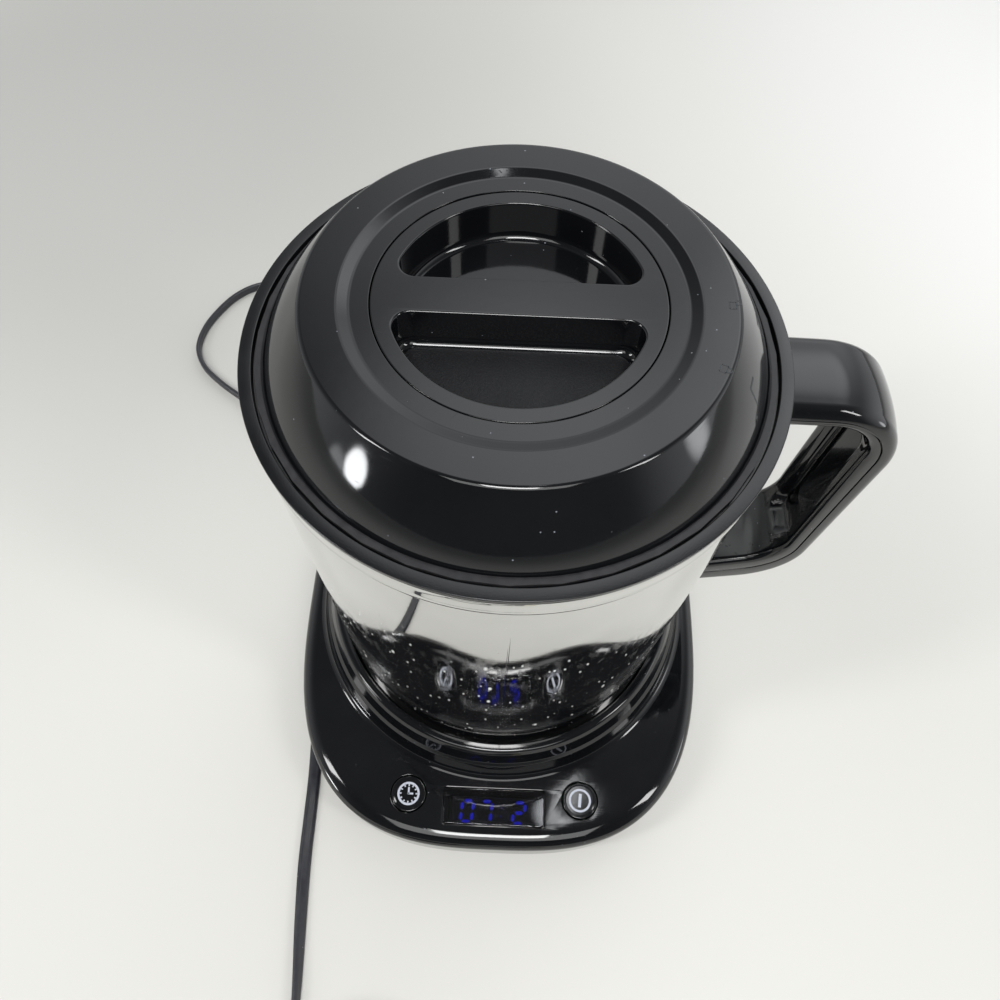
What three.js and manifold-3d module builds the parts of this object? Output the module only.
// Cold brew coffee maker: a steel jug with a filter basket and a pump wheel, on a powered base.
// Millimetres, +Z up. The jug's axis is the Z axis of every group, the front with the buttons is -Y
// and the handle points to +X. The whole group is shifted at the end, so that the origin is the
// middle of the object's footprint on the table.

import * as THREE from 'three';
import { mergeVertices } from 'three/addons/utils/BufferGeometryUtils.js';
import Module from 'manifold-3d';

const wasm = await Module();
wasm.setup();

// Counts of facets
const roundSides = 36;
const mediumSides = 24;
const smallSides = 14;
const tinySides = 8;
const outlineSides = 40;
const curveSteps = 4;
const bevelSteps = 3;

// Clearances that several pieces share
const fit = 0.3;
const slip = 0.35;
const overrun = 2;

// Jug
const jugHeight = 177.4;
const jugTopRadius = 74.3;
const jugTaper = 1.5;
const jugHeelHeight = 30.7;
const jugHeelTuck = 1.2;
const jugHeelWidth = 9.3;
const jugWall = 1;
const jugFloor = 1.6;
const jugWallFootRadius = jugTopRadius - jugTaper;
const jugHeelRadius = jugWallFootRadius - jugHeelTuck;
const jugBottomRadius = jugWallFootRadius - jugHeelWidth;
const pinRadius = 1.5;
const pinLength = 11;
const pinDepth = 1.1;

// Pedestal that the jug stands in, which rests on a ledge of the deck
const rimHeight = 44;
const rimClearance = 0.2;
const rimWidth = 3.6;
const rimRound = 1.1;
const pedestalStepWidth = 3.8;
const pedestalFootWidth = 3.8;
const pedestalFillet = 2;
const pedestalLedge = 8.2;
const seatHeight = 36;
const seatThickness = 2.5;
const rimInnerRadius = jugWallFootRadius + rimClearance;
const rimOuterRadius = rimInnerRadius + rimWidth;
const pedestalStepRadius = rimOuterRadius + pedestalStepWidth;
const pedestalFootRadius = pedestalStepRadius + pedestalFootWidth;
const deckHoleRadius = pedestalFootRadius + pedestalFillet - pedestalLedge;

// Base: footprint, shell and lower cover
const baseSideMargin = 8;
const baseFrontMargin = 27.3;
const baseRearMargin = 13.8;
const baseHalfWidth = pedestalFootRadius + baseSideMargin;
const baseFrontReach = pedestalFootRadius + baseFrontMargin;
const baseRearReach = pedestalFootRadius + baseRearMargin;
const footprintPower = 2.9;
const shellWall = 2.5;
const shellEdgeHeight = 5;
const deckHeight = 27;
const deckRound = 5.9;
const coverThickness = 2.2;
const undercut = 9.5;
const footHeight = 2.6;
const footRadius = 7.5;
const footRecess = 1.2;
const footInsetX = 48.2;
const footInsetY = 26;
const footPlaceX = baseHalfWidth - footInsetX;
const footPlaceY = baseRearReach - footInsetY;

// Screws that join the base's two halves
const baseScrewInsetX = 26.2;
const baseScrewInsetY = 40;
const baseScrewPlaceX = baseHalfWidth - baseScrewInsetX;
const baseScrewPlaceY = baseRearReach - baseScrewInsetY;
const baseScrewRadius = 1.5;
const baseScrewHeadRadius = 3;
const baseScrewHeadHeight = 1.6;
const baseBossRadius = 4.2;
const baseScrewGrip = 10;

// Display window and display module
const windowWidth = 42.6;
const windowDepth = 14.2;
const windowThickness = 1.5;
const windowLip = 2;
const windowFrontMargin = 15.1;
const windowPlaceY = windowFrontMargin - baseFrontReach;
const windowCorner = 1;
const moduleHeight = 4.4;
const moduleMargin = 3;

// Buttons, their return pads and switches
const buttonRadius = 7.3;
const buttonSideMargin = 15.4;
const buttonFrontMargin = 19.1;
const buttonPlaceX = windowWidth / 2 + buttonSideMargin;
const buttonPlaceY = buttonFrontMargin - baseFrontReach;
const buttonProud = 0.3;
const buttonCapHeight = 4;
const buttonGuideLength = 2.4;
const buttonStemRadius = 1.9;
const buttonTravel = 0.8;
const padRadius = 5.2;
const padWall = 0.9;
const switchSide = 5;
const switchHeight = 3.4;

// Control board
const boardThickness = 1.6;
const boardWidth = 88;
const boardDepth = 34;
const boardFrontMargin = 25.5;
const boardPlaceY = boardFrontMargin - baseFrontReach;
const boardDrop = 9.6;
const boardPostRadius = 2.6;
const boardPostMargin = 4;
const boardFrontPostX = 24;

// Power board at the rear
const powerBoardWidth = 62;
const powerBoardDepth = 26;
const powerBoardRearMargin = 32;
const powerBoardPlaceY = baseRearReach - powerBoardRearMargin;
const powerBoardHeight = 10;
const transformerWidth = 20;
const transformerDepth = 17;
const transformerHeight = 11;
const transformerPlaceX = -14;
const capacitorRadius = 4;
const capacitorHeight = 10.5;
const capacitorPlaceX = 14;
const capacitorSpacing = 11;

// Motor and magnetic drive
const motorRadius = 17.5;
const motorHeight = 14;
const motorNoseRadius = 5;
const motorNoseHeight = 1.6;
const bracketThickness = 1.6;
const bracketReach = 31;
const bracketArmWidth = 10;
const shaftRadius = 1.6;
const shaftDepth = 9;
const carrierRadius = 20.5;
const carrierThickness = 2.2;
const carrierHubRadius = 4.5;
const carrierHubLength = 2.2;
const magnetInnerRadius = 12;
const magnetOuterRadius = 19;
const magnetThickness = 2.6;
const magnetGap = 0.7;
const motorScrewRadius = 1.3;
const motorScrewHeadRadius = 2.6;
const motorScrewHeadHeight = 1.4;
const motorScrewGrip = 5;
const motorBossRadius = 3.8;

// Collar on the jug's rim
const collarLip = 0.7;
const collarFlange = 3;
const collarLand = 3.6;
const collarLedgeDepth = 2.2;
const collarLedgeWidth = 2.2;
const collarSkirtDepth = 14;
const lugHalfDegrees = 9;
const lugCount = 3;
const lugHeight = 2.6;
const lugReach = 1.1;
const collarRadius = jugTopRadius + collarLip;
const collarInnerRadius = collarRadius - collarLand;
const collarSkirtInnerRadius = collarInnerRadius - collarLedgeWidth;

// Lid
const lidRise = 19;
const lidClearance = 2.5;
const lidShoulderWidth = 13.2;
const lidBandWidth = 9.4;
const lidEdgeRound = 2.2;
const lidShoulderBulge = 1.6;
const lidWall = 2.5;
const lidStepWidth = 2.7;
const lidStepDepth = 1.8;
const lidGrooveDepth = 1.5;
const gasketThickness = 1.3;
const lidOuterRadius = collarInnerRadius - lidClearance;
const lidTopRadius = lidOuterRadius - lidShoulderWidth;
const lidStepOuterRadius = lidTopRadius - lidBandWidth;
const lidStepInnerRadius = lidStepOuterRadius - lidStepWidth;
const lidSkirtDepth = collarSkirtDepth + fit + lugHeight;

// Opening in the lid, its cap and the cap's seal
const capMargin = 5.8;
const capDrop = 0.6;
const capHeight = 15.2;
const capEdgeRound = 0.7;
const capLedgeWidth = 1.8;
const capLedgeThickness = 2.2;
const capNeckLength = 5.6;
const capNeckWall = 2.95;
const capLugHeight = 2.2;
const capLugHalfDegrees = 24;
const capSealThickness = 1.4;
const recessRim = 4.4;
const recessCorner = 4.5;
const recessDepth = 11;
const recessFloorRound = 2;
const barHalfWidth = 6;
const capCavityDepth = 6;
const spigotWall = 2.5;
const spigotDepth = 11;
const capRadius = lidStepInnerRadius - capMargin;
const recessRadius = capRadius - recessRim;
const openingRadius = capRadius + fit;
const ledgeInnerRadius = openingRadius - capLedgeWidth;
const spigotOuterRadius = openingRadius + spigotWall;
const neckRadius = ledgeInnerRadius - slip;
const capCavityRadius = neckRadius - capNeckWall;

// Spray head
const sprayRingWidth = 2.6;
const sprayRingHeight = 2.2;
const spraySpokeWidth = 4;
const sprayHubRadius = 11;
const sprayHubHeight = 7;
const sprayHoleRadius = 0.9;
const sprayHoleCount = 6;
const sprayCupRadius = 8;

// Filter basket
const basketRingWall = 2.5;
const basketRingHeight = 10;
const basketFlange = 1.8;
const basketDepth = 84;
const meshClearance = 1.3;
const meshRadius = openingRadius - meshClearance;
const meshThickness = 0.6;
const basketRibThickness = 2;
const basketRibWidth = 5;
const basketRibCount = 6;
const basketFloor = 2.2;
const sleeveRadius = 8.6;
const sleeveWall = 1.5;
const sleeveTopGap = 12;
const basketSealThickness = 1.3;

// Pump in the jug's floor
const impellerRadius = 20.5;
const impellerDisc = 4.4;
const impellerHubRadius = 4;
const impellerHubHeight = 8;
const bladeCount = 6;
const bladeHeight = 3.5;
const bladeThickness = 1.6;
const wheelMagnetThickness = 2.4;
const pumpCoverRadius = 27;
const pumpCoverHeight = 16;
const pumpCoverWall = 2;
const pumpSocketHeight = 9;
const pumpSlotCount = 6;
const pumpSlotWidth = 7;
const pumpSlotHeight = 5;
const riserRadius = 6.5;
const riserWall = 1.5;
const riserTopGap = 5;

// Handle: depths are below the collar's rim, reaches are from the jug's axis
const handleFingerGap = 30.1;
const handleLean = 4.2;
const handleHalfWidth = 14.6;
const handleRound = 3.2;
const handleTopDepth = 6.6;
const handleTopSlope = 1.2;
const handleArmThickness = 7.8;
const handleGripThickness = 12;
const handleElbowDepth = 118;
const handleLowDrop = 16;
const handleLowArmThickness = 16.5;
const handleTopCornerShare = 0.5;
const handleLowCornerShare = 0.6;
const handleShellShare = 0.58;
const channelHalfWidth = 9.2;
const channelDepth = 4;
const channelTopDepth = 26;
const channelLowMargin = 20;
const channelCorner = 6;
const lugPlateThickness = 2.4;
const lugPlateLength = 10;
const lugPlateHalfWidth = 6;
const handleScrewRadius = 1.2;
const handleScrewHeadRadius = 2.4;
const handleScrewHeadHeight = 1.3;
const handleReach = jugTopRadius + handleFingerGap + handleGripThickness;
const handleLowDepth = handleElbowDepth + handleLowDrop;
const handleTopInnerCorner = handleFingerGap * handleTopCornerShare;
const handleLowInnerCorner = handleFingerGap * handleLowCornerShare;
const handleTopCorner = handleTopInnerCorner + handleGripThickness;
const handleLowCorner = handleLowInnerCorner + handleGripThickness;
const channelLength = handleElbowDepth - channelTopDepth - channelLowMargin;

// Mains cord, its strain relief and its plug
const cordWidth = 5.6;
const cordThickness = 3;
const cordSides = 8;
const coilSides = 6;
const cordExitInset = 72.2;
const cordExitX = cordExitInset - baseHalfWidth;
const cordExitHeight = 13.1;
const reliefFlangeRadius = 5.5;
const reliefFlangeThickness = 2;
const reliefNeckRadius = 4.6;
const reliefTailRadius = 4.9;
const reliefTipRadius = 3.7;
const reliefTailLength = 28;
const coilRadius = 31;
const coilPitch = 4.6;
const coilLayerRise = 6.3;
const coilInset = 46.1;
const coilDistance = 304;
const coilCentreX = coilInset - baseHalfWidth;
const coilCentreY = baseRearReach - coilDistance;
const coilLeadLength = 6;
const coilTailLength = 30;
const coilStepsPerTurn = 24;
const coilInwardTurns = 1.25;
const plugWidth = 21;
const plugHeight = 13;
const plugLength = 27;
const plugReliefLength = 15;
const plugRound = 2.4;
const contactLength = 16;
const contactWidth = 6.3;
const contactThickness = 1.5;
const contactSpacing = 12.7;
const cordLift = 0.3;

// Heights of the stacked pieces above the table
const jugBottomHeight = seatHeight + fit;
const rimTopHeight = jugBottomHeight + jugHeight + fit + collarFlange;
const seatUnderside = seatHeight - seatThickness;
const magnetTop = seatUnderside - magnetGap;
const magnetBottom = magnetTop - magnetThickness;
const carrierTop = magnetBottom - fit;
const carrierBottom = carrierTop - carrierThickness;
const motorTop = carrierBottom - carrierHubLength - fit - motorNoseHeight;
const motorBottom = motorTop - motorHeight;
const bracketBottom = motorTop + fit;
const bracketTop = bracketBottom + bracketThickness;
const deckUnderside = deckHeight - shellWall;
const coverFlangeTop = shellEdgeHeight + coverThickness;
const boardTop = deckHeight - boardDrop;
const boardBottom = boardTop - boardThickness;
const switchTop = boardTop + fit + switchHeight;
const stemBottom = switchTop + buttonTravel + fit;

// Materials
function finish(color, roughness, metalness = 0) {
  return new THREE.MeshStandardMaterial({ color, roughness, metalness });
}

const glossBlack = finish(0x0d0e10, 0.12);
const satinBlack = finish(0x1a1b1d, 0.35);
const mattBlack = finish(0x202124, 0.6);
const rubberBlack = finish(0x161616, 0.85);
const sealSilicone = finish(0x2a2b2d, 0.7);
const polishedSteel = finish(0xd6d7d6, 0.06, 1);
const smokedWindow = finish(0x12161c, 0.06);
const steel = finish(0xb9bcc0, 0.28, 1);
const brass = finish(0xb5934a, 0.3, 1);
const boardGreen = finish(0x1f5a3a, 0.5);
const ferrite = finish(0x3a3a3e, 0.45);
const padSilicone = finish(0xc9ccd0, 0.75);
const cordBlack = finish(0x1c1d22, 0.55);

// Closed mesh to solid, with its faces turned outwards
function solid(geometry) {
  const bare = new THREE.BufferGeometry();
  bare.setAttribute('position', geometry.getAttribute('position').clone());
  if (geometry.index) {
    bare.setIndex(geometry.index.clone());
  }
  const merged = mergeVertices(bare);
  const vertProperties = new Float32Array(merged.getAttribute('position').array);
  const triVerts = new Uint32Array(merged.index.array);
  if (signedVolume(vertProperties, triVerts) < 0) {
    for (let i = 0; i < triVerts.length; i += 3) {
      const kept = triVerts[i];
      triVerts[i] = triVerts[i + 1];
      triVerts[i + 1] = kept;
    }
  }
  return new wasm.Manifold(new wasm.Mesh({ numProp: 3, vertProperties, triVerts }));
}

function signedVolume(vertices, triangles) {
  const corner = (k) => new THREE.Vector3().fromArray(vertices, 3 * triangles[k]);
  let sum = 0;
  for (let i = 0; i < triangles.length; i += 3) {
    sum += corner(i).dot(corner(i + 1).cross(corner(i + 2)));
  }
  return sum / 6;
}

// Solid back to a geometry with flat faces
function skin(body) {
  const mesh = body.getMesh();
  const geometry = new THREE.BufferGeometry();
  geometry.setAttribute('position', new THREE.BufferAttribute(new Float32Array(mesh.vertProperties), 3));
  geometry.setIndex(new THREE.BufferAttribute(new Uint32Array(mesh.triVerts), 1));
  geometry.computeVertexNormals();
  return geometry;
}

function join(...bodies) {
  return bodies.reduce((whole, body) => whole.add(body));
}

function cut(body, ...cutters) {
  return cutters.reduce((rest, cutter) => rest.subtract(cutter), body);
}

// Named mesh of one solid, placed in its group
function piece(group, name, body, material) {
  const mesh = new THREE.Mesh(skin(body), material);
  mesh.name = name;
  group.add(mesh);
  return mesh;
}

// Like pieces that lie apart, each its own mesh with a number in its name
function pieces(group, name, bodies, material) {
  bodies.forEach((body, k) => piece(group, `${name}_${k + 1}`, body, material));
}

// Solid of revolution about Z from a closed profile of [radius, height] pairs
function turned(profile, sides = roundSides) {
  const points = profile.map(([radius, height]) => new THREE.Vector2(radius, height));
  points.push(points[0].clone());
  const geometry = new THREE.LatheGeometry(points, sides);
  geometry.rotateX(Math.PI / 2);
  return solid(geometry);
}

function ring(inner, outer, low, high, sides = roundSides) {
  return turned([[inner, low], [outer, low], [outer, high], [inner, high]], sides);
}

function rod(radius, low, high, x = 0, y = 0, sides = smallSides) {
  const geometry = new THREE.CylinderGeometry(radius, radius, high - low, sides);
  geometry.rotateX(Math.PI / 2);
  geometry.translate(x, y, (low + high) / 2);
  return solid(geometry);
}

// Box from its width, depth and two heights, centred on x and y
function block(width, depth, low, high, x = 0, y = 0) {
  const geometry = new THREE.BoxGeometry(width, depth, high - low);
  geometry.translate(x, y, (low + high) / 2);
  return solid(geometry);
}

// Straight extrusion of a flat outline between two heights
function slab(shape, low, high, steps = curveSteps) {
  const geometry = new THREE.ExtrudeGeometry(shape, {
    depth: high - low, bevelEnabled: false, curveSegments: steps,
  });
  geometry.translate(0, 0, low);
  return solid(geometry);
}

// Extrusion with both edges rounded, within its outline
function roundedSlab(shape, low, high, round, steps = curveSteps) {
  const geometry = new THREE.ExtrudeGeometry(shape, {
    depth: high - low - 2 * round,
    bevelEnabled: true,
    bevelThickness: round,
    bevelSize: round,
    bevelOffset: -round,
    bevelSegments: bevelSteps,
    curveSegments: steps,
  });
  geometry.translate(0, 0, low + round);
  return solid(geometry);
}

// Sector of a ring between two angles in degrees
function sector(inner, outer, low, high, start, end) {
  const from = THREE.MathUtils.degToRad(start);
  const to = THREE.MathUtils.degToRad(end);
  const shape = new THREE.Shape();
  shape.absarc(0, 0, outer, from, to, false);
  shape.absarc(0, 0, inner, to, from, true);
  return slab(shape, low, high);
}

function joinedSectors(count, inner, outer, low, high, start, end) {
  const sectors = [];
  for (let k = 0; k < count; k += 1) {
    const turn = (360 * k) / count;
    sectors.push(sector(inner, outer, low, high, start + turn, end + turn));
  }
  return join(...sectors);
}

function roundedRectangle(width, depth, corner) {
  const x = width / 2;
  const y = depth / 2;
  const shape = new THREE.Shape();
  shape.absarc(x - corner, y - corner, corner, 0, Math.PI / 2, false);
  shape.absarc(corner - x, y - corner, corner, Math.PI / 2, Math.PI, false);
  shape.absarc(corner - x, corner - y, corner, Math.PI, 1.5 * Math.PI, false);
  shape.absarc(x - corner, corner - y, corner, 1.5 * Math.PI, 2 * Math.PI, false);
  return shape;
}

// Footprint of the base: a superellipse with a longer front half, drawn in by an inset
function footprint(inset) {
  const points = [];
  const power = 2 / footprintPower;
  for (let k = 0; k < outlineSides; k += 1) {
    const angle = (2 * Math.PI * k) / outlineSides;
    const across = Math.cos(angle);
    const along = Math.sin(angle);
    const reach = along < 0 ? baseFrontReach : baseRearReach;
    points.push(new THREE.Vector2(
      (baseHalfWidth - inset) * Math.sign(across) * Math.abs(across) ** power,
      (reach - inset) * Math.sign(along) * Math.abs(along) ** power,
    ));
  }
  return new THREE.Shape(points);
}

// Distance from the axis to the base's rear edge at a given x
function rearEdge(x) {
  return baseRearReach * (1 - Math.abs(x / baseHalfWidth) ** footprintPower) ** (1 / footprintPower);
}

// Places of a pattern mirrored in both axes
function fourPlaces(x, y) {
  return [[x, y], [-x, y], [-x, -y], [x, -y]];
}

// Places of the two buttons, timer first
const buttonPlaces = [['timer_button', -buttonPlaceX], ['start_button', buttonPlaceX]];

const model = new THREE.Group();
const baseGroup = new THREE.Group();
const jugGroup = new THREE.Group();
const lidGroup = new THREE.Group();
const cordGroup = new THREE.Group();
jugGroup.position.z = jugBottomHeight;
lidGroup.position.z = rimTopHeight;
const applianceGroup = new THREE.Group();
applianceGroup.add(baseGroup, jugGroup, lidGroup);
model.add(applianceGroup, cordGroup);

// Upper shell of the base: the side wall and the deck, with its ledge, bosses and openings
function makeUpperShell() {
  const edgeBottom = shellEdgeHeight - deckRound;
  const rounded = roundedSlab(footprint(0), edgeBottom, deckHeight, deckRound);
  const floorCut = slab(footprint(-overrun), edgeBottom - overrun, shellEdgeHeight);
  const cavity = join(
    slab(footprint(shellWall), shellEdgeHeight - overrun, deckHeight - deckRound),
    slab(footprint(deckRound), shellEdgeHeight, deckUnderside),
  );
  const deckHole = rod(deckHoleRadius, deckUnderside - overrun, deckHeight + overrun, 0, 0, roundSides);
  const bosses = [];
  const bores = [];
  for (const [x, y] of fourPlaces(baseScrewPlaceX, baseScrewPlaceY)) {
    const boreTop = coverFlangeTop + baseScrewGrip + fit;
    bosses.push(rod(baseBossRadius, coverFlangeTop + fit, deckUnderside + fit, x, y, tinySides));
    bores.push(rod(baseScrewRadius + fit, shellEdgeHeight, boreTop, x, y, tinySides));
  }
  for (const side of [-1, 1]) {
    const postReach = boardDepth / 2 - boardPostMargin;
    const rearPost = [side * (boardWidth / 2 - boardPostMargin), boardPlaceY + postReach];
    const frontPost = [side * boardFrontPostX, boardPlaceY - postReach];
    for (const [x, y] of [rearPost, frontPost]) {
      bosses.push(rod(boardPostRadius, boardTop + fit, deckUnderside + fit, x, y, tinySides));
    }
  }
  const windowSeat = slab(
    roundedRectangle(windowWidth + 2 * fit, windowDepth + 2 * fit, windowCorner + fit),
    deckHeight - windowThickness - fit, deckHeight + overrun,
  );
  const windowHole = block(
    windowWidth - 2 * windowLip, windowDepth - 2 * windowLip, deckUnderside - overrun, deckHeight,
  );
  const wells = buttonPlaces.map(([, x]) => rod(
    buttonRadius + slip, deckUnderside - overrun, deckHeight + overrun, x, buttonPlaceY, mediumSides,
  ));
  const cordHole = alongY(
    rod(reliefNeckRadius + fit, 0, reliefFlangeThickness + 2 * shellWall + 2 * overrun, 0, 0, smallSides),
    cordExitX, rearEdge(cordExitX) - shellWall - reliefFlangeThickness - overrun, cordExitHeight,
  );
  const shell = cut(
    join(cut(rounded, floorCut, cavity, deckHole), ...bosses),
    windowSeat.translate([0, windowPlaceY, 0]),
    windowHole.translate([0, windowPlaceY, 0]),
    cordHole,
    ...wells,
    ...bores,
  );
  piece(baseGroup, 'base_upper_shell', shell, glossBlack);
}

// Pedestal: a stepped ring on the deck's ledge, with the jug's seat and two bosses for the motor
function makePedestal() {
  const bottom = deckHeight + fit;
  const half = (deckHeight + rimHeight) / 2;
  const bowl = turned([
    [0, seatUnderside],
    [rimInnerRadius, seatUnderside],
    [deckHoleRadius, bottom],
    [pedestalFootRadius + pedestalFillet, bottom],
    [pedestalFootRadius, deckHeight + pedestalFillet],
    [pedestalStepRadius + rimRound, half],
    [pedestalStepRadius, half + rimRound],
    [rimOuterRadius + rimRound, rimHeight - 2 * rimRound],
    [rimOuterRadius, rimHeight],
    [rimInnerRadius + rimRound / 2, rimHeight],
    [rimInnerRadius, rimHeight - rimRound / 2],
    [rimInnerRadius, seatHeight],
    [0, seatHeight],
  ]);
  const bosses = [];
  const bores = [];
  for (const x of [-bracketReach, bracketReach]) {
    const boreTop = bracketTop + fit + motorScrewGrip;
    bosses.push(rod(motorBossRadius, bracketTop + fit, seatUnderside + fit, x, 0, tinySides));
    bores.push(rod(motorScrewRadius + fit, bracketTop, boreTop, x, 0, tinySides));
  }
  piece(baseGroup, 'base_pedestal', cut(join(bowl, ...bosses), ...bores), glossBlack);
}

// Body made along Z, laid along +Y from a point
function alongY(body, x, y, z) {
  return body.rotate([-90, 0, 0]).translate([x, y, z]);
}

// Lower cover: a flange inside the shell's edge over a drawn-in tub
function makeLowerCover() {
  const floorTop = footHeight + coverThickness;
  const headTop = footHeight + baseScrewHeadHeight + fit;
  const flange = slab(footprint(shellWall + fit), shellEdgeHeight, coverFlangeTop);
  const tub = slab(footprint(undercut), footHeight, coverFlangeTop);
  const hollow = slab(footprint(undercut + coverThickness), floorTop, coverFlangeTop + overrun);
  const posts = [];
  const cuts = [];
  for (const [x, y] of fourPlaces(baseScrewPlaceX, baseScrewPlaceY)) {
    posts.push(rod(baseBossRadius, footHeight, coverFlangeTop, x, y, tinySides));
    cuts.push(rod(baseScrewRadius + fit, footHeight - overrun, coverFlangeTop + overrun, x, y, tinySides));
    cuts.push(rod(baseScrewHeadRadius + fit, footHeight - overrun, headTop, x, y, tinySides));
  }
  for (const [x, y] of fourPlaces(footPlaceX, footPlaceY)) {
    cuts.push(rod(footRadius + fit, footHeight - overrun, footHeight + footRecess, x, y));
  }
  const motorRest = ring(
    motorRadius - overrun, motorRadius + overrun, floorTop - fit, motorBottom - fit, mediumSides,
  );
  const postX = powerBoardWidth / 2 - boardPostMargin;
  const postY = powerBoardDepth / 2 - boardPostMargin;
  const powerPosts = fourPlaces(postX, postY).map(([x, y]) => rod(
    boardPostRadius, floorTop - fit, powerBoardHeight - fit, x, y + powerBoardPlaceY, tinySides,
  ));
  const body = cut(join(cut(join(flange, tub), hollow), ...posts, motorRest, ...powerPosts), ...cuts);
  piece(baseGroup, 'base_lower_cover', body, mattBlack);
}

function makeFeetAndBaseScrews() {
  const names = ['foot_rear_right', 'foot_rear_left', 'foot_front_left', 'foot_front_right'];
  fourPlaces(footPlaceX, footPlaceY).forEach(([x, y], k) => {
    const top = footHeight + footRecess - fit;
    const foot = turned([
      [0, 0], [footRadius - footRecess, 0], [footRadius, footRecess], [footRadius, top], [0, top],
    ], smallSides);
    piece(baseGroup, names[k], foot.translate([x, y, 0]), rubberBlack);
  });
  const screws = fourPlaces(baseScrewPlaceX, baseScrewPlaceY).map(([x, y]) => join(
    rod(baseScrewHeadRadius, footHeight + fit, footHeight + baseScrewHeadHeight, x, y, tinySides),
    rod(baseScrewRadius, footHeight + fit, coverFlangeTop + baseScrewGrip, x, y, tinySides),
  ));
  pieces(baseGroup, 'base_screw', screws, steel);
}

function makeDisplay() {
  const outline = roundedRectangle(windowWidth, windowDepth, windowCorner);
  const pane = slab(outline, deckHeight - windowThickness, deckHeight);
  piece(baseGroup, 'display_window', pane.translate([0, windowPlaceY, 0]), smokedWindow);
  const top = deckUnderside - fit;
  const width = windowWidth - 2 * moduleMargin;
  const module = join(
    block(width, windowDepth - moduleMargin, top - moduleHeight, top, 0, windowPlaceY),
    block(width - moduleMargin, windowDepth - 2 * moduleMargin, boardTop + fit, top, 0, windowPlaceY),
  );
  piece(baseGroup, 'display_module', module, mattBlack);
}

function makeButtons() {
  const switches = [];
  for (const [name, x] of buttonPlaces) {
    const top = deckHeight + buttonProud;
    const cap = turned([
      [0, stemBottom],
      [buttonStemRadius, stemBottom],
      [buttonStemRadius, top - buttonCapHeight + buttonGuideLength / 2],
      [buttonRadius, top - buttonCapHeight + buttonGuideLength / 2],
      [buttonRadius, top - buttonProud],
      [buttonRadius - buttonProud, top],
      [0, top],
    ], mediumSides);
    piece(baseGroup, `${name}_cap`, cap.translate([x, buttonPlaceY, 0]), glossBlack);
    const padTop = top - buttonCapHeight + buttonGuideLength / 2 - fit;
    const padFoot = boardTop + fit;
    const pad = turned([
      [padRadius - padWall, padFoot],
      [padRadius, padFoot],
      [padRadius - padWall, padTop],
      [padRadius - 2 * padWall, padTop],
    ], smallSides);
    piece(baseGroup, `${name}_return_pad`, pad.translate([x, buttonPlaceY, 0]), padSilicone);
    switches.push(block(switchSide, switchSide, boardTop + fit, switchTop, x, buttonPlaceY));
  }
  pieces(baseGroup, 'button_switch', switches, ferrite);
}

function makeBoards() {
  const board = block(boardWidth, boardDepth, boardBottom, boardTop, 0, boardPlaceY);
  piece(baseGroup, 'control_board', board, boardGreen);
  const powerTop = powerBoardHeight + boardThickness;
  const powerBoard = block(
    powerBoardWidth, powerBoardDepth, powerBoardHeight, powerTop, 0, powerBoardPlaceY,
  );
  piece(baseGroup, 'power_board', powerBoard, boardGreen);
  const transformer = block(
    transformerWidth, transformerDepth, powerTop + fit, powerTop + fit + transformerHeight,
    transformerPlaceX, powerBoardPlaceY,
  );
  piece(baseGroup, 'transformer', transformer, brass);
  const capacitors = [-1, 1].map((side) => rod(
    capacitorRadius, powerTop + fit, powerTop + fit + capacitorHeight,
    capacitorPlaceX, powerBoardPlaceY + (side * capacitorSpacing) / 2, tinySides,
  ));
  pieces(baseGroup, 'capacitor', capacitors, ferrite);
}

// Motor, bracket, shaft and the magnet disc that turns under the jug's seat
function makeDrive() {
  const noseTop = motorTop + motorNoseHeight;
  const can = cut(
    join(
      rod(motorRadius, motorBottom, motorTop, 0, 0, mediumSides),
      rod(motorNoseRadius, motorBottom, noseTop),
    ),
    rod(shaftRadius + fit, motorTop - shaftDepth, noseTop + overrun, 0, 0, tinySides),
  );
  piece(baseGroup, 'drive_motor', can, steel);
  const arms = block(2 * (bracketReach + motorBossRadius), bracketArmWidth, bracketBottom, bracketTop);
  const plate = rod(motorRadius, bracketBottom, bracketTop, 0, 0, mediumSides);
  const holes = [rod(motorNoseRadius + fit, bracketBottom - overrun, bracketTop + overrun)];
  const screws = [];
  for (const side of [-1, 1]) {
    const x = side * bracketReach;
    holes.push(rod(motorScrewRadius + fit, bracketBottom - overrun, bracketTop + overrun, x, 0, tinySides));
    const headBottom = bracketBottom - fit - motorScrewHeadHeight;
    screws.push(join(
      rod(motorScrewHeadRadius, headBottom, bracketBottom - fit, x, 0, tinySides),
      rod(motorScrewRadius, headBottom + fit, bracketTop + motorScrewGrip, x, 0, tinySides),
    ));
  }
  piece(baseGroup, 'motor_bracket', cut(join(arms, plate), ...holes), steel);
  pieces(baseGroup, 'motor_screw', screws, steel);
  const shaft = rod(shaftRadius, motorTop - shaftDepth + fit, carrierTop - fit, 0, 0, tinySides);
  piece(baseGroup, 'motor_shaft', shaft, steel);
  const carrier = cut(
    join(
      rod(carrierRadius, carrierBottom, carrierTop, 0, 0, mediumSides),
      rod(carrierHubRadius, carrierBottom - carrierHubLength, carrierTop),
    ),
    rod(shaftRadius + fit, carrierBottom - carrierHubLength - overrun, carrierTop, 0, 0, tinySides),
  );
  piece(baseGroup, 'magnet_carrier', carrier, mattBlack);
  const magnet = ring(magnetInnerRadius, magnetOuterRadius, magnetBottom, magnetTop, mediumSides);
  piece(baseGroup, 'drive_magnet', magnet, ferrite);
}

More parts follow.
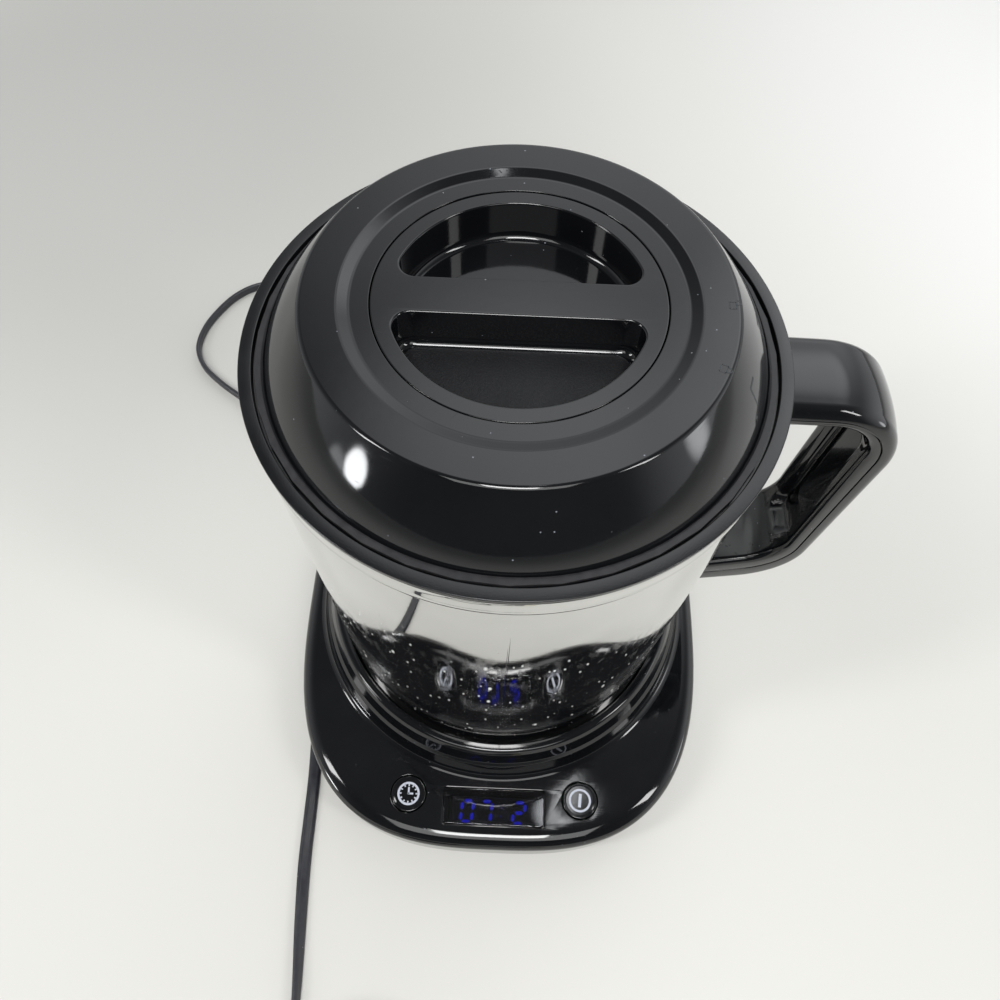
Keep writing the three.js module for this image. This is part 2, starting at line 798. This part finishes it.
// Outline of the jug's outer wall, drawn in by an inset, from the floor up
function jugProfile(inset, floor) {
  const heel = new THREE.QuadraticBezierCurve(
    new THREE.Vector2(jugBottomRadius - inset, floor),
    new THREE.Vector2(jugHeelRadius - inset, floor),
    new THREE.Vector2(jugWallFootRadius - inset, jugHeelHeight),
  );
  return heel.getPoints(curveSteps).map((point) => [point.x, point.y]);
}

function makeJug() {
  const outer = turned([[0, 0], ...jugProfile(0, 0), [jugTopRadius, jugHeight], [0, jugHeight]]);
  const inner = turned([
    [0, jugFloor], ...jugProfile(jugWall, jugFloor),
    [jugTopRadius - jugWall, jugHeight],
    [jugTopRadius - jugWall, jugHeight + overrun],
    [0, jugHeight + overrun],
  ]);
  const pinHole = rod(pinRadius + fit, jugFloor - pinDepth, jugFloor + overrun, 0, 0, tinySides);
  const plates = [];
  for (const height of handleLugHeights()) {
    const root = jugWallFootRadius - jugWall;
    const tip = jugTopRadius + lugPlateLength;
    const plate = block(
      tip - root, 2 * lugPlateHalfWidth, height - lugPlateThickness / 2, height + lugPlateThickness / 2,
      (root + tip) / 2, 0,
    );
    plates.push(cut(plate, screwBore(height, handleScrewRadius + fit)));
  }
  piece(jugGroup, 'jug_body', cut(join(outer, ...plates), inner, pinHole), polishedSteel);
  const pin = rod(pinRadius, jugFloor - pinDepth + fit, jugFloor + pinLength, 0, 0, tinySides);
  piece(jugGroup, 'impeller_pin', pin, steel);
}

// Collar: flange over the jug's rim, an inner land, a ledge for the seal and a skirt with slots
function makeCollar() {
  const flangeBottom = jugHeight + fit;
  const top = flangeBottom + collarFlange;
  const skirtOuter = jugTopRadius - jugWall - fit;
  const body = turned([
    [collarSkirtInnerRadius, top - collarSkirtDepth],
    [skirtOuter - fit, top - collarSkirtDepth],
    [skirtOuter, flangeBottom],
    [collarRadius, flangeBottom],
    [collarRadius, top - fit],
    [collarRadius - fit, top],
    [collarInnerRadius + fit, top],
    [collarInnerRadius, top - fit],
    [collarInnerRadius, top - collarLedgeDepth],
    [collarSkirtInnerRadius, top - collarLedgeDepth],
  ]);
  const slots = joinedSectors(
    lugCount, collarSkirtInnerRadius - overrun, lidOuterRadius + lugReach + fit,
    top - collarSkirtDepth - overrun, top - collarLedgeDepth + overrun,
    -lugHalfDegrees, lugHalfDegrees,
  );
  piece(jugGroup, 'jug_collar', cut(body, slots), satinBlack);
}

// Straight-sided path with rounded corners, as points of the handle's side view
function roundedPath(corners, radii) {
  const points = [corners[0]];
  for (let k = 1; k < corners.length - 1; k += 1) {
    const before = corners[k - 1].clone().sub(corners[k]).normalize();
    const after = corners[k + 1].clone().sub(corners[k]).normalize();
    const half = before.angleTo(after) / 2;
    const reach = radii[k - 1] / Math.tan(half);
    const start = corners[k].clone().addScaledVector(before, reach);
    const end = corners[k].clone().addScaledVector(after, reach);
    const inward = before.clone().add(after).normalize();
    const centre = corners[k].clone().addScaledVector(inward, radii[k - 1] / Math.sin(half));
    const from = start.clone().sub(centre);
    const sweep = from.angle() - end.clone().sub(centre).angle();
    const turn = Math.atan2(Math.sin(-sweep), Math.cos(-sweep));
    for (let step = 0; step <= curveSteps; step += 1) {
      const spun = from.clone().rotateAround(new THREE.Vector2(), (turn * step) / curveSteps);
      points.push(centre.clone().add(spun));
    }
  }
  points.push(corners[corners.length - 1]);
  return points;
}

// Side view of the handle at a share of its thickness: 0 is the outer face, 1 the inner face
function handlePath(share) {
  const rim = jugHeight + fit + collarFlange;
  const root = jugBottomRadius;
  const top = rim - handleTopDepth - share * handleArmThickness;
  const elbow = rim - handleElbowDepth + share * handleLowArmThickness;
  const low = rim - handleLowDepth + share * handleLowArmThickness;
  const reach = handleReach - share * handleGripThickness;
  const corners = [
    new THREE.Vector2(root, top),
    new THREE.Vector2(reach, top - handleTopSlope * (1 - share)),
    new THREE.Vector2(reach - handleLean * (1 - share / 2), elbow),
    new THREE.Vector2(root, low),
  ];
  return roundedPath(corners, [
    handleTopCorner + share * (handleTopInnerCorner - handleTopCorner),
    handleLowCorner + share * (handleLowInnerCorner - handleLowCorner),
  ]);
}

// Region between two of the handle's paths, as an outline in X and Z
function handleBand(shareOut, shareIn) {
  return new THREE.Shape([...handlePath(shareOut), ...handlePath(shareIn).reverse()]);
}

// Outline drawn in X and Z, extruded along Y about the middle
function acrossY(body) {
  return body.rotate([90, 0, 0]);
}

function handleLugHeights() {
  const rim = jugHeight + fit + collarFlange;
  const topSeam = rim - handleTopDepth - handleShellShare * handleArmThickness;
  const middle = jugTopRadius + lugPlateLength / 2;
  const lowPath = handlePath(handleShellShare);
  const lowRoot = lowPath[lowPath.length - 1];
  const lowBend = lowPath[lowPath.length - 2];
  const slope = (lowBend.y - lowRoot.y) / (lowBend.x - lowRoot.x);
  return [topSeam, lowRoot.y + slope * (middle - lowRoot.x)];
}

function screwBore(height, radius) {
  return rod(
    radius, height - handleLowArmThickness, height + handleLowArmThickness,
    jugTopRadius + lugPlateLength / 2, 0, tinySides,
  );
}

// Handle: an outer shell and an inner cover that clamp the jug's two lugs between them
function makeHandle() {
  const half = handleHalfWidth;
  const bar = acrossY(roundedSlab(handleBand(0, 1), -half, half, handleRound));
  const outerHalf = acrossY(slab(handleBand(-1, handleShellShare), -2 * half, 2 * half));
  const seamShare = handleShellShare + fit / handleArmThickness;
  const innerHalf = acrossY(slab(handleBand(seamShare, 1 + handleShellShare), -2 * half, 2 * half));
  const jugCut = turned([
    [0, -overrun], [jugWallFootRadius + fit, -overrun], [jugWallFootRadius + fit, jugHeelHeight],
    [jugTopRadius + fit, jugHeight], [0, jugHeight],
  ]);
  const heights = handleLugHeights();
  const pockets = heights.map((height) => block(
    2 * (lugPlateLength + fit), 2 * (lugPlateHalfWidth + fit),
    height - lugPlateThickness / 2 - fit, height + lugPlateThickness / 2 + fit, jugTopRadius, 0,
  ));
  const channelMiddle = jugHeight + fit + collarFlange - channelTopDepth - channelLength / 2;
  const innerFace = handleReach - handleGripThickness - handleLean / 2;
  const channelOutline = roundedRectangle(channelLength, 2 * channelHalfWidth, channelCorner);
  const channel = slab(channelOutline, -2 * overrun, channelDepth)
    .rotate([0, 90, 0])
    .translate([innerFace, 0, channelMiddle]);
  const x = jugTopRadius + lugPlateLength / 2;
  const shaftHoles = [];
  const headHoles = [];
  const screws = [];
  heights.forEach((height, k) => {
    const side = k === 0 ? -1 : 1;
    const thickness = k === 0 ? handleArmThickness : handleLowArmThickness;
    const far = height - side * thickness * handleShellShare * handleShellShare;
    const near = height + side * thickness * (1 - handleShellShare) * handleShellShare;
    const mouth = near + side * handleScrewHeadHeight;
    const span = (a, b, radius) => rod(radius, Math.min(a, b), Math.max(a, b), x, 0, tinySides);
    shaftHoles.push(span(far - side * fit, mouth + side * thickness, handleScrewRadius + fit));
    headHoles.push(span(near - side * fit, mouth + side * thickness, handleScrewHeadRadius + fit));
    screws.push(join(span(far, mouth, handleScrewRadius), span(near, mouth, handleScrewHeadRadius)));
  });
  const outer = cut(bar.intersect(outerHalf), jugCut, ...pockets, ...shaftHoles);
  const inner = cut(bar.intersect(innerHalf), jugCut, ...pockets, ...shaftHoles, ...headHoles, channel);
  piece(jugGroup, 'handle_outer', outer, glossBlack);
  piece(jugGroup, 'handle_inner', inner, glossBlack);
  pieces(jugGroup, 'handle_screw', screws, steel);
}

// Pump wheel with its magnet, the pump cover and the riser tube
function makePump() {
  const wheelBottom = jugFloor + magnetGap;
  const discTop = wheelBottom + impellerDisc;
  const magnetPocket = ring(
    magnetInnerRadius - fit, magnetOuterRadius + fit, wheelBottom - overrun,
    wheelBottom + wheelMagnetThickness + fit, mediumSides,
  );
  const blades = [];
  for (let k = 0; k < bladeCount; k += 1) {
    const length = impellerRadius - impellerHubRadius;
    const bladeMiddle = impellerHubRadius + length / 2;
    const blade = block(length, bladeThickness, discTop - fit, discTop + bladeHeight, bladeMiddle, 0);
    blades.push(blade.rotate([0, 0, (360 * k) / bladeCount]));
  }
  const wheel = cut(
    join(
      rod(impellerRadius, wheelBottom, discTop, 0, 0, mediumSides),
      rod(impellerHubRadius, wheelBottom, wheelBottom + impellerHubHeight),
      ...blades,
    ),
    magnetPocket,
    rod(pinRadius + fit, wheelBottom - overrun, wheelBottom + impellerHubHeight + overrun, 0, 0, tinySides),
  );
  piece(jugGroup, 'impeller', wheel, mattBlack);
  const wheelMagnet = ring(
    magnetInnerRadius, magnetOuterRadius, wheelBottom, wheelBottom + wheelMagnetThickness, mediumSides,
  );
  piece(jugGroup, 'impeller_magnet', wheelMagnet, ferrite);

  const coverBottom = jugFloor + fit;
  const coverTop = coverBottom + pumpCoverHeight;
  const socketTop = coverTop + pumpSocketHeight;
  const shoulder = riserRadius + fit + pumpCoverWall;
  const cover = turned([
    [pumpCoverRadius - pumpCoverWall, coverBottom],
    [pumpCoverRadius, coverBottom],
    [pumpCoverRadius, coverBottom + pumpCoverHeight / 2],
    [shoulder + pumpCoverWall, coverTop],
    [shoulder, coverTop],
    [shoulder, socketTop],
    [riserRadius + fit, socketTop],
    [riserRadius + fit, coverTop],
    [riserRadius - riserWall, coverTop],
    [riserRadius - riserWall, coverTop - pumpCoverWall],
    [shoulder, coverTop - pumpCoverWall],
    [pumpCoverRadius - pumpCoverWall, coverBottom + pumpCoverHeight / 2 - pumpCoverWall / 2],
  ], mediumSides);
  const slots = [];
  for (let k = 0; k < pumpSlotCount; k += 1) {
    const slot = block(
      2 * pumpCoverWall + 2 * overrun, pumpSlotWidth, coverBottom - overrun, coverBottom + pumpSlotHeight,
      pumpCoverRadius - pumpCoverWall / 2, 0,
    );
    slots.push(slot.rotate([0, 0, (360 * (k + 0.5)) / pumpSlotCount]));
  }
  piece(jugGroup, 'pump_cover', cut(cover, ...slots), mattBlack);

  const riser = ring(riserRadius - riserWall, riserRadius, coverTop + fit, riserTop(), smallSides);
  piece(jugGroup, 'riser_tube', riser, polishedSteel);
}

// Heights in the lid's own frame, where zero is the collar's rim
const ledgeTop = lidRise - lidStepDepth - capDrop - capHeight - capSealThickness - 2 * fit;
const ledgeBottom = ledgeTop - capLedgeThickness;
const spigotBottom = ledgeBottom - spigotDepth;
const sprayBottom = spigotBottom + fit;
const basketFlangeTop = spigotBottom - 2 * fit - basketSealThickness;
const basketFlangeBottom = basketFlangeTop - basketFlange;
const basketBottom = basketFlangeBottom - basketDepth;

// Top of the riser tube, in the jug's frame
function riserTop() {
  return jugHeight + fit + collarFlange + sprayBottom - sprayHubHeight - riserTopGap + sprayHubHeight / 2;
}

// Lid: flat annulus with a step, a domed shoulder, a skirt with a seal groove and three lugs
function makeLid() {
  const top = lidRise;
  const opening = top - lidStepDepth;
  const seat = -collarLedgeDepth + fit;
  const grooveRadius = lidOuterRadius - lidGrooveDepth;
  const shoulderMiddle = (lidOuterRadius + lidTopRadius) / 2;
  const bulge = new THREE.QuadraticBezierCurve(
    new THREE.Vector2(lidOuterRadius, 0),
    new THREE.Vector2(shoulderMiddle + 2 * lidShoulderBulge, top / 2 + 2 * lidShoulderBulge),
    new THREE.Vector2(lidTopRadius + lidEdgeRound / 2, top - lidEdgeRound / 2),
  );
  const outside = bulge.getPoints(curveSteps - 1).map((point) => [point.x, point.y]);
  const inside = bulge.getPoints(curveSteps - 2).map((point) => [point.x - lidWall, point.y - lidWall]);
  const body = turned([
    [openingRadius, opening],
    [openingRadius, ledgeTop],
    [ledgeInnerRadius, ledgeTop],
    [ledgeInnerRadius, ledgeBottom],
    [openingRadius, ledgeBottom],
    [openingRadius, spigotBottom],
    [spigotOuterRadius, spigotBottom],
    [spigotOuterRadius, opening - lidWall],
    [lidTopRadius - lidWall, top - lidWall],
    ...inside.reverse(),
    [lidOuterRadius - lidWall, -lidSkirtDepth],
    [lidOuterRadius, -lidSkirtDepth],
    [lidOuterRadius, seat - fit],
    [grooveRadius, seat - fit],
    [grooveRadius, seat + gasketThickness + fit],
    [lidOuterRadius, seat + gasketThickness + fit],
    ...outside,
    [lidTopRadius - lidEdgeRound / 2, top],
    [lidStepOuterRadius, top],
    [lidStepInnerRadius, opening],
  ]);
  const lugTop = -collarSkirtDepth - fit;
  const lugs = joinedSectors(
    lugCount, lidOuterRadius - lidWall, lidOuterRadius + lugReach, lugTop - lugHeight, lugTop,
    fit - lugHalfDegrees, lugHalfDegrees - fit,
  );
  const capSlots = joinedSectors(
    2, ledgeInnerRadius - overrun, openingRadius, ledgeBottom - overrun, ledgeTop + overrun,
    -capLugHalfDegrees, capLugHalfDegrees,
  );
  piece(lidGroup, 'lid_shell', cut(join(body, lugs), capSlots), glossBlack);
  const gasket = ring(grooveRadius + fit, collarInnerRadius - fit - fit, seat, seat + gasketThickness);
  piece(lidGroup, 'lid_gasket', gasket, sealSilicone);
}

// One finger recess: the part of a disc beyond the bar, with rounded corners
function recessShape(inset, side) {
  const radius = recessRadius - inset;
  const corner = recessCorner - inset / 2;
  const edge = barHalfWidth + inset;
  const centreY = edge + corner;
  const centreX = Math.sqrt((radius - corner) ** 2 - centreY ** 2);
  const lean = Math.atan2(centreY, centreX);
  const shape = new THREE.Shape();
  shape.absarc(0, 0, radius, lean, Math.PI - lean, false);
  shape.absarc(-centreX, centreY, corner, Math.PI - lean, 1.5 * Math.PI, false);
  shape.absarc(centreX, centreY, corner, 1.5 * Math.PI, 2 * Math.PI + lean, false);
  const points = shape.getPoints(2 * curveSteps);
  return new THREE.Shape(points.map((point) => point.multiplyScalar(side)));
}

// Cap: a plug with two deep finger recesses and the bar between them, and two lugs below the ledge
function makeCap() {
  const top = lidRise - lidStepDepth - capDrop;
  const bottom = top - capHeight;
  const neckBottom = ledgeBottom - capNeckLength;
  const plug = turned([
    [0, neckBottom],
    [neckRadius, neckBottom],
    [neckRadius, bottom],
    [capRadius, bottom],
    [capRadius, top - capEdgeRound],
    [capRadius - capEdgeRound, top],
    [0, top],
  ]);
  const lugs = joinedSectors(
    2, neckRadius - overrun, openingRadius - slip, ledgeBottom - slip - capLugHeight, ledgeBottom - slip,
    fit - capLugHalfDegrees, capLugHalfDegrees - fit,
  );
  const recesses = [];
  for (const side of [-1, 1]) {
    recesses.push(slab(recessShape(0, side), top - recessDepth + recessFloorRound, top + overrun));
    recesses.push(slab(recessShape(recessFloorRound, side), top - recessDepth, top));
  }
  const cavity = rod(capCavityRadius, neckBottom - overrun, neckBottom + capCavityDepth, 0, 0, mediumSides);
  piece(lidGroup, 'lid_cap', cut(join(plug, lugs), cavity, ...recesses), glossBlack);
  const sealBottom = ledgeTop + fit;
  const seal = ring(neckRadius + fit, openingRadius - fit, sealBottom, sealBottom + capSealThickness);
  piece(lidGroup, 'cap_seal', seal, sealSilicone);
}

// Spray head: a ring held in the spigot, three spokes and a hub with small holes over the riser
function makeSprayHead() {
  const ringOuter = openingRadius - fit;
  const ringInner = ringOuter - sprayRingWidth;
  const hubTop = sprayBottom + sprayRingHeight;
  const hubBottom = hubTop - sprayHubHeight;
  const spokes = [];
  const holes = [];
  for (let k = 0; k < lugCount; k += 1) {
    const spoke = block(ringInner, spraySpokeWidth, sprayBottom, hubTop, ringInner / 2 + overrun / 2, 0);
    spokes.push(spoke.rotate([0, 0, (360 * (k + 0.5)) / lugCount]));
  }
  for (let k = 0; k < sprayHoleCount / 2; k += 1) {
    const reach = sprayHubRadius + overrun;
    const hole = rod(sprayHoleRadius, -reach, reach, 0, 0, tinySides / 2);
    const turn = (360 * k) / sprayHoleCount;
    holes.push(hole.rotate([0, 90, turn]).translate([0, 0, hubBottom + sprayHubHeight / 3]));
  }
  const hub = rod(sprayHubRadius, hubBottom, hubTop, 0, 0, mediumSides);
  const cup = rod(sprayCupRadius, hubBottom - overrun, hubTop - sprayRingHeight, 0, 0, smallSides);
  const body = cut(
    join(ring(ringInner, ringOuter, sprayBottom, hubTop), hub, ...spokes), cup, ...holes,
  );
  piece(lidGroup, 'spray_head', body, mattBlack);
}

// Filter basket: ring and flange under the lid's spigot, ribs, floor and centre sleeve, with its mesh
function makeBasket() {
  const ringInner = spigotOuterRadius + fit;
  const ringOuter = ringInner + basketRingWall;
  const meshInner = meshRadius - meshThickness;
  const ribInner = meshRadius + fit;
  const ribOuter = ribInner + basketRibThickness;
  const floorTop = basketBottom + basketFloor;
  const sleeveTop = sprayBottom - sleeveTopGap;
  const sleeveInner = sleeveRadius - sleeveWall;
  const head = turned([
    [meshInner, basketFlangeBottom],
    [ringOuter, basketFlangeBottom],
    [ringOuter, basketFlangeTop + basketRingHeight],
    [ringInner, basketFlangeTop + basketRingHeight],
    [ringInner, basketFlangeTop],
    [meshInner, basketFlangeTop],
  ]);
  const floor = turned([
    [sleeveInner, basketBottom],
    [ribOuter, basketBottom],
    [ribOuter, floorTop + basketFloor],
    [ribInner, floorTop + basketFloor],
    [ribInner, floorTop],
    [sleeveRadius, floorTop],
    [sleeveRadius, sleeveTop],
    [sleeveInner, sleeveTop],
  ], mediumSides);
  const ribs = [];
  for (let k = 0; k < basketRibCount; k += 1) {
    const middle = (ribInner + ribOuter) / 2 + fit;
    const ribTop = basketFlangeBottom + fit;
    const rib = block(ribOuter - ribInner, basketRibWidth, floorTop, ribTop, middle, 0);
    ribs.push(rib.rotate([0, 0, (360 * (k + 1 / 2)) / basketRibCount]));
  }
  const hoopMiddle = (basketBottom + basketFlangeBottom) / 2;
  const hoop = ring(
    ribInner, ribOuter, hoopMiddle - basketFloor / 2, hoopMiddle + basketFloor / 2, mediumSides,
  );
  piece(lidGroup, 'basket_frame', join(head, floor, hoop, ...ribs), mattBlack);
  const mesh = ring(meshInner, meshRadius, floorTop + fit, basketFlangeBottom - fit, mediumSides);
  piece(lidGroup, 'filter_mesh', mesh, steel);
  const seal = ring(openingRadius, spigotOuterRadius, basketFlangeTop + fit, spigotBottom - fit);
  piece(lidGroup, 'basket_seal', seal, sealSilicone);
}

// Strain relief: a flange inside the wall, a neck in its hole and a tapered tail around the cord
function makeStrainRelief() {
  const wall = rearEdge(cordExitX);
  const inside = -shellWall - 2 * fit - reliefFlangeThickness;
  const body = turned([
    [0, inside],
    [reliefFlangeRadius, inside],
    [reliefFlangeRadius, inside + reliefFlangeThickness],
    [reliefNeckRadius, inside + reliefFlangeThickness],
    [reliefNeckRadius, 2 * fit],
    [reliefTailRadius, 2 * fit],
    [reliefTailRadius, 2 * fit + reliefFlangeThickness],
    [reliefTipRadius, reliefTailLength],
    [0, reliefTailLength],
  ], smallSides);
  piece(cordGroup, 'strain_relief', alongY(body, cordExitX, wall, cordExitHeight), rubberBlack);
}

// Route of the cord's middle line from the strain relief's tip to the coil: a list chosen by hand.
// Across and along are measured from the base's left and rear edges, and heights from the table.
const cordRoute = [
  [72.2, 27.9, 13.1], [71.8, 36, 12.4], [69.7, 48, 9.9], [64.2, 62, 6.4], [52.2, 78, 3.8],
  [34.2, 92.5, 3.1], [10.2, 104, 3.1], [-15.8, 112.5, 3.1], [-42.8, 115.5, 3.1],
  [-68.2, 110.8, 3.1], [-79.8, 102.5, 3.1], [-88.3, 90, 3.1], [-94.3, 75, 3.1], [-95.1, 60, 3.1],
  [-89.3, 47.5, 3.1], [-77.8, 36.5, 3.1], [-63.8, 26.5, 3.1], [-46.8, 15, 3.1], [-29.3, -0.5, 3.1],
  [-13.8, -22, 3.0], [-3.3, -48, 2.5], [1.7, -76, 2.0], [4.2, -106, 1.9], [5.8, -134, 1.9],
  [7.7, -160, 1.9], [9.2, -180, 1.9], [9.7, -198, 1.9], [10.2, -218, 2.0], [12.1, -242, 2.5],
  [14.3, -266, 3.0], [15.1, -284, 3.1], [15.1, -297.7, 3.1],
];

// Flat cord along a middle line. Its rings stand upright on the table: a ring whose middle lies
// higher than half the cord's thickness is tilted up, until the cord stands on its edge.
function flatTube(points, sides, firstAhead, lastAhead) {
  const last = points.length - 1;
  const halfWidth = cordWidth / 2;
  const halfThickness = cordThickness / 2;
  const rings = points.map((point, k) => {
    const ahead = points[Math.min(k + 1, last)].clone().sub(points[Math.max(k - 1, 0)]).setZ(0).normalize();
    if (k === 0) {
      ahead.copy(firstAhead);
    }
    if (k === last) {
      ahead.copy(lastAhead);
    }
    const across = new THREE.Vector3(ahead.y, -ahead.x, 0);
    const rise = THREE.MathUtils.clamp(point.z - cordLift, halfThickness, halfWidth);
    const upright = (rise ** 2 - halfThickness ** 2) / (halfWidth ** 2 - halfThickness ** 2);
    const tilt = Math.asin(Math.sqrt(upright));
    const places = [];
    for (let side = 0; side < sides; side += 1) {
      const angle = (2 * Math.PI * (side + 1 / 2)) / sides;
      const flat = new THREE.Vector2(halfWidth * Math.cos(angle), halfThickness * Math.sin(angle));
      flat.rotateAround(new THREE.Vector2(), tilt);
      places.push(point.clone().addScaledVector(across, flat.x).setZ(point.z + flat.y));
    }
    return places;
  });
  const index = [];
  for (let k = 0; k < last; k += 1) {
    for (let side = 0; side < sides; side += 1) {
      const a = k * sides + side;
      const b = k * sides + ((side + 1) % sides);
      index.push(a, b, b + sides, a, b + sides, a + sides);
    }
  }
  for (let side = 1; side + 1 < sides; side += 1) {
    index.push(0, side + 1, side, last * sides, last * sides + side, last * sides + side + 1);
  }
  const geometry = new THREE.BufferGeometry();
  const position = rings.flat().flatMap((place) => place.toArray());
  geometry.setAttribute('position', new THREE.Float32BufferAttribute(position, 3));
  geometry.setIndex(index);
  return { body: solid(geometry), rings };
}

const towardsFront = new THREE.Vector3(0, -1, 0);
const towardsRear = new THREE.Vector3(0, 1, 0);
const towardsRight = new THREE.Vector3(1, 0, 0);

function makeFreeCord() {
  const route = new THREE.CatmullRomCurve3(
    cordRoute.map(([x, y, z]) => new THREE.Vector3(x - baseHalfWidth, y + baseRearReach, z)),
    false,
    'centripetal',
  );
  const steps = Math.round(route.getLength() / (2 * cordWidth));
  const tube = flatTube(route.getSpacedPoints(steps), cordSides, towardsRear, towardsFront);
  piece(cordGroup, 'power_cord', tube.body, cordBlack);
  console.log(`free cord: ${route.getLength().toFixed(1)} mm in ${steps} steps`);
}

// Middle line of the coil: a straight lead, a turn and a quarter inwards and a turn outwards, with
// a climb of one layer about the reversal, then a straight tail that comes down to the plug's height
function coilPoints() {
  const low = cordLift + cordWidth / 2;
  const reverse = coilStepsPerTurn * coilInwardTurns;
  const quarter = coilStepsPerTurn / 4;
  const lastStep = reverse + coilStepsPerTurn;
  const points = [new THREE.Vector3(coilCentreX - coilRadius, coilCentreY + coilLeadLength, low)];
  for (let step = 0; step <= lastStep; step += 1) {
    const inwards = reverse - Math.abs(step - reverse);
    const radius = coilRadius - (coilPitch * inwards) / coilStepsPerTurn;
    const climb = THREE.MathUtils.smoothstep(step, reverse - quarter, reverse + quarter);
    const angle = Math.PI + (2 * Math.PI * step) / coilStepsPerTurn;
    points.push(new THREE.Vector3(
      coilCentreX + radius * Math.cos(angle),
      coilCentreY + radius * Math.sin(angle),
      low + climb * coilLayerRise,
    ));
  }
  const end = points[points.length - 1];
  for (let step = 1; step <= curveSteps; step += 1) {
    const share = step / curveSteps;
    const fall = THREE.MathUtils.smoothstep(share, 0, (curveSteps - 1) / curveSteps);
    points.push(new THREE.Vector3(
      end.x + share * coilTailLength,
      end.y,
      end.z + fall * (plugHeight / 2 - end.z),
    ));
  }
  return points;
}

function makeCoil() {
  const points = coilPoints();
  const tube = flatTube(points, coilSides, towardsFront, towardsRight);
  piece(cordGroup, 'cord_coil', tube.body, cordBlack);
  const least = leastGap(tube.rings).toFixed(2);
  console.log(`cord coil: ${lineLength(points).toFixed(1)} mm, least gap to itself ${least} mm`);
}

function lineLength(points) {
  let length = 0;
  for (let k = 1; k < points.length; k += 1) {
    length += points[k].distanceTo(points[k - 1]);
  }
  return length;
}

// Least distance between surface points of rings that are more than half a turn apart
const sampleShares = [0, 0.25, 0.5, 0.75];

function leastGap(rings) {
  const apart = coilStepsPerTurn / 2;
  const dense = rings.map((places) => places.flatMap((place, side) => {
    const next = places[(side + 1) % places.length];
    return sampleShares.map((share) => place.clone().lerp(next, share));
  }));
  let least = Infinity;
  for (let a = 0; a < dense.length; a += 1) {
    for (let b = a + apart; b < dense.length; b += 1) {
      for (const one of dense[a]) {
        for (const other of dense[b]) {
          least = Math.min(least, one.distanceTo(other));
        }
      }
    }
  }
  return least;
}

// Plug: a moulded body with a tapered tail towards the cord, and two flat contact blades
function makePlug() {
  const points = coilPoints();
  const tip = points[points.length - 1];
  const tail = tip.x + fit;
  const neck = tail + plugReliefLength;
  const face = neck + plugLength;
  const halfTip = reliefTipRadius;
  const topView = new THREE.Shape([
    new THREE.Vector2(tail, -halfTip),
    new THREE.Vector2(neck, -reliefTailRadius),
    new THREE.Vector2(neck + plugLength / 3, -plugWidth / 2),
    new THREE.Vector2(face, -plugWidth / 2),
    new THREE.Vector2(face, plugWidth / 2),
    new THREE.Vector2(neck + plugLength / 3, plugWidth / 2),
    new THREE.Vector2(neck, reliefTailRadius),
    new THREE.Vector2(tail, halfTip),
  ]);
  const sideView = new THREE.Shape([
    new THREE.Vector2(tail, -halfTip),
    new THREE.Vector2(neck, -reliefTailRadius),
    new THREE.Vector2(neck + plugLength / 4, -plugHeight / 2),
    new THREE.Vector2(face, -plugHeight / 2),
    new THREE.Vector2(face, plugHeight / 2),
    new THREE.Vector2(neck + plugLength / 4, plugHeight / 2),
    new THREE.Vector2(neck, reliefTailRadius),
    new THREE.Vector2(tail, halfTip),
  ]);
  const flat = roundedSlab(topView, -plugHeight / 2, plugHeight / 2, plugRound);
  const upright = acrossY(slab(sideView, -plugWidth, plugWidth));
  const slots = [];
  const contacts = [];
  for (const side of [-1, 1]) {
    const y = (side * contactSpacing) / 2;
    const width = contactThickness;
    const slotHalf = contactWidth / 2 + fit;
    slots.push(block(2 * plugRound, width + 2 * fit, -slotHalf, slotHalf, face, y));
    const blade = block(contactLength + plugRound - fit, width, -contactWidth / 2, contactWidth / 2,
      face + (contactLength - plugRound + fit) / 2, y);
    contacts.push(blade);
  }
  const place = [0, tip.y, plugHeight / 2];
  piece(cordGroup, 'plug_body', cut(flat.intersect(upright), ...slots).translate(place), rubberBlack);
  pieces(cordGroup, 'plug_blade', contacts.map((contact) => contact.translate(place)), brass);
}

makeUpperShell();
makePedestal();
makeLowerCover();
makeFeetAndBaseScrews();
makeDisplay();
makeButtons();
makeBoards();
makeDrive();
makeJug();
makeCollar();
makeHandle();
makePump();
makeLid();
makeCap();
makeSprayHead();
makeBasket();
makeStrainRelief();
makeFreeCord();
makeCoil();
makePlug();

// The origin is the middle of the footprint of the appliance without its cord
applianceGroup.updateMatrixWorld(true);
const middle = new THREE.Box3().setFromObject(applianceGroup).getCenter(new THREE.Vector3());
model.position.set(-middle.x, -middle.y, 0);

export default model;
